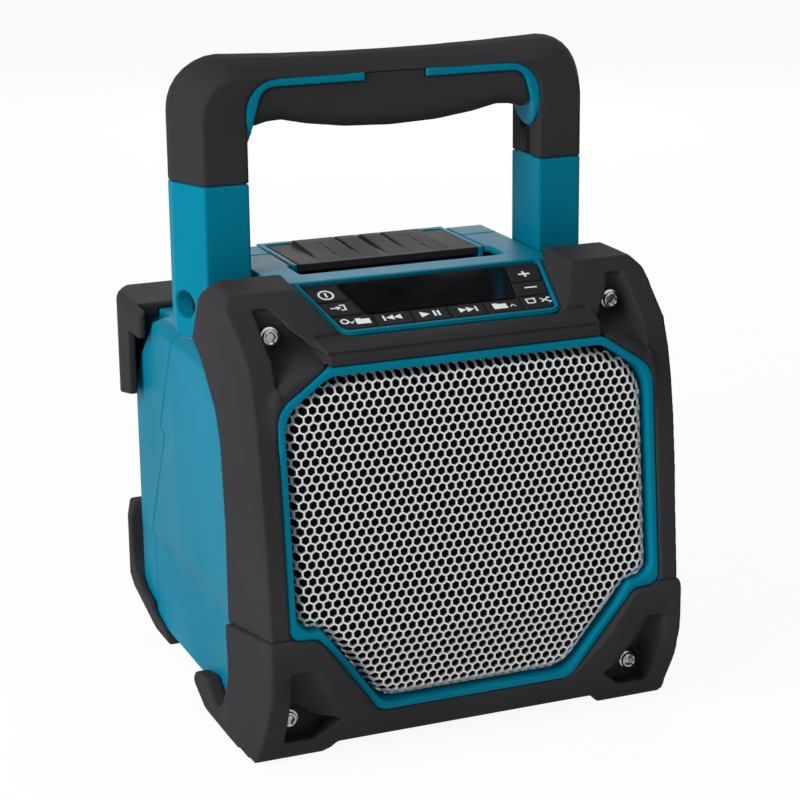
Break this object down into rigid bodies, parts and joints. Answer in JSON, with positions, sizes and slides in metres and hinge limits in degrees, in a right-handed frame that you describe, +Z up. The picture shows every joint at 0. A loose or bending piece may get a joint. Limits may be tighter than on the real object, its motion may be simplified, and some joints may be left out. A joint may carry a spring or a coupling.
{
  "type": "wireless speaker",
  "caption": "Rugged portable wireless speaker with a folding carry handle, corner bumpers, a tilted keypad, a hexagon-hole grille and a rear battery door.",
  "frame": {"origin": "centre of the footprint, at floor height", "axes": "+Z up, the grille faces -Y, +X to the right seen from behind the speaker's front plane towards +Y; the left and right halves mirror about X = 0"},
  "size_m": [0.2052, 0.2288, 0.2962],
  "materials": {
    "housing_teal": "satin",
    "elastomer_black": "matte",
    "plastic_black": "satin",
    "grille_silver": "satin",
    "display_gloss": "gloss",
    "screw_steel": "satin",
    "pin_steel": "satin",
    "washer_nylon": "satin",
    "basket_steel": "satin",
    "cone_paper": "matte",
    "spider_cloth": "matte",
    "coil_copper": "satin",
    "magnet_ferrite": "matte",
    "dome_silk": "matte",
    "board_green": "satin",
    "parts_mixed": "satin",
    "sink_aluminium": "satin",
    "blade_brass": "satin"
  },
  "bodies": {
    "speaker": {"battery_bay_liner": "plastic_black", "battery_door_hinge_pin": "pin_steel", "battery_terminal_blades": "blade_brass", "battery_terminal_block": "plastic_black", "control_bezel": "housing_teal", "display_module": "plastic_black", "display_window": "display_gloss", "front_arch_bumper": "elastomer_black", "front_foot_bumper": "elastomer_black", "front_housing": "housing_teal", "front_screws": "screw_steel", "grille": "grille_silver", "grille_trim": "housing_teal", "handle_friction_washers": "washer_nylon", "handle_pivot_pins": "pin_steel", "heat_sink": "sink_aluminium", "keypad_mat": "elastomer_black", "keypad_plate": "plastic_black", "lower_rear_bumper_left": "elastomer_black", "lower_rear_bumper_right": "elastomer_black", "main_board": "board_green", "main_board_parts": "parts_mixed", "mains_adaptor_socket": "plastic_black", "port_panel": "plastic_black", "rear_housing": "housing_teal", "rear_screws": "screw_steel", "sound_jack": "plastic_black", "switch_board": "board_green", "tweeter": "plastic_black", "tweeter_dome": "dome_silk", "upper_rear_bumper_left": "elastomer_black", "upper_rear_bumper_right": "elastomer_black", "usb_socket": "plastic_black", "wireless_module": "board_green", "woofer_basket": "basket_steel", "woofer_cone": "cone_paper", "woofer_dust_cap": "cone_paper", "woofer_gasket": "elastomer_black", "woofer_magnet": "magnet_ferrite", "woofer_spider": "spider_cloth", "woofer_surround": "elastomer_black", "woofer_voice_coil": "coil_copper"},
    "handle": {"handle_core": "housing_teal", "handle_outer_shell": "elastomer_black", "handle_palm_grip": "elastomer_black"},
    "battery_door": {"battery_door": "housing_teal", "battery_door_seal": "elastomer_black", "battery_locker_pin": "pin_steel"},
    "battery_locker": {"battery_locker": "plastic_black"},
    "port_cover": {"port_cover": "elastomer_black"},
    "button_power": {"button_power": "plastic_black"},
    "button_source": {"button_source": "plastic_black"},
    "button_pair": {"button_pair": "plastic_black"},
    "button_previous": {"button_previous": "plastic_black"},
    "button_play": {"button_play": "plastic_black"},
    "button_next": {"button_next": "plastic_black"},
    "button_folder_up": {"button_folder_up": "plastic_black"},
    "button_repeat": {"button_repeat": "plastic_black"},
    "button_minus": {"button_minus": "plastic_black"},
    "button_plus": {"button_plus": "plastic_black"}
  },
  "joints": [
    {"name": "handle_fold", "type": "hinge", "parent": "speaker", "child": "handle", "pos_m": [0, -0.0063, 0.1863], "axis": [-1, 0, 0], "range_deg": [0, 90]},
    {"name": "battery_door_swing", "type": "hinge", "parent": "speaker", "child": "battery_door", "pos_m": [0, 0.1015, 0.017], "axis": [-1, 0, 0], "range_deg": [0, 85]},
    {"name": "battery_locker_lift", "type": "hinge", "parent": "battery_door", "child": "battery_locker", "pos_m": [0, 0.032, 0.1969], "axis": [-1, 0, 0], "range_deg": [0, 40], "stiffness_Nm_per_rad": 0.04, "springref_deg": -11.46},
    {"name": "port_cover_swing", "type": "hinge", "parent": "speaker", "child": "port_cover", "pos_m": [0.0972, -0.026, 0.106], "axis": [0, 0, -1], "range_deg": [0, 90]},
    {"name": "power_press", "type": "slide", "parent": "speaker", "child": "button_power", "axis": [0, 0.3453, -0.9385], "range_m": [0, 0.0006], "stiffness_N_per_m": 900, "springref_m": -0.0005},
    {"name": "source_press", "type": "slide", "parent": "speaker", "child": "button_source", "axis": [0, 0.3453, -0.9385], "range_m": [0, 0.0006], "stiffness_N_per_m": 900, "springref_m": -0.0005},
    {"name": "pair_press", "type": "slide", "parent": "speaker", "child": "button_pair", "axis": [0, 0.3453, -0.9385], "range_m": [0, 0.0006], "stiffness_N_per_m": 900, "springref_m": -0.0005},
    {"name": "previous_press", "type": "slide", "parent": "speaker", "child": "button_previous", "axis": [0, 0.3453, -0.9385], "range_m": [0, 0.0006], "stiffness_N_per_m": 900, "springref_m": -0.0005},
    {"name": "play_press", "type": "slide", "parent": "speaker", "child": "button_play", "axis": [0, 0.3453, -0.9385], "range_m": [0, 0.0006], "stiffness_N_per_m": 900, "springref_m": -0.0005},
    {"name": "next_press", "type": "slide", "parent": "speaker", "child": "button_next", "axis": [0, 0.3453, -0.9385], "range_m": [0, 0.0006], "stiffness_N_per_m": 900, "springref_m": -0.0005},
    {"name": "folder_up_press", "type": "slide", "parent": "speaker", "child": "button_folder_up", "axis": [0, 0.3453, -0.9385], "range_m": [0, 0.0006], "stiffness_N_per_m": 900, "springref_m": -0.0005},
    {"name": "repeat_press", "type": "slide", "parent": "speaker", "child": "button_repeat", "axis": [0, 0.3453, -0.9385], "range_m": [0, 0.0006], "stiffness_N_per_m": 900, "springref_m": -0.0005},
    {"name": "minus_press", "type": "slide", "parent": "speaker", "child": "button_minus", "axis": [0, 0.3453, -0.9385], "range_m": [0, 0.0006], "stiffness_N_per_m": 900, "springref_m": -0.0005},
    {"name": "plus_press", "type": "slide", "parent": "speaker", "child": "button_plus", "axis": [0, 0.3453, -0.9385], "range_m": [0, 0.0006], "stiffness_N_per_m": 900, "springref_m": -0.0005}
  ]
}
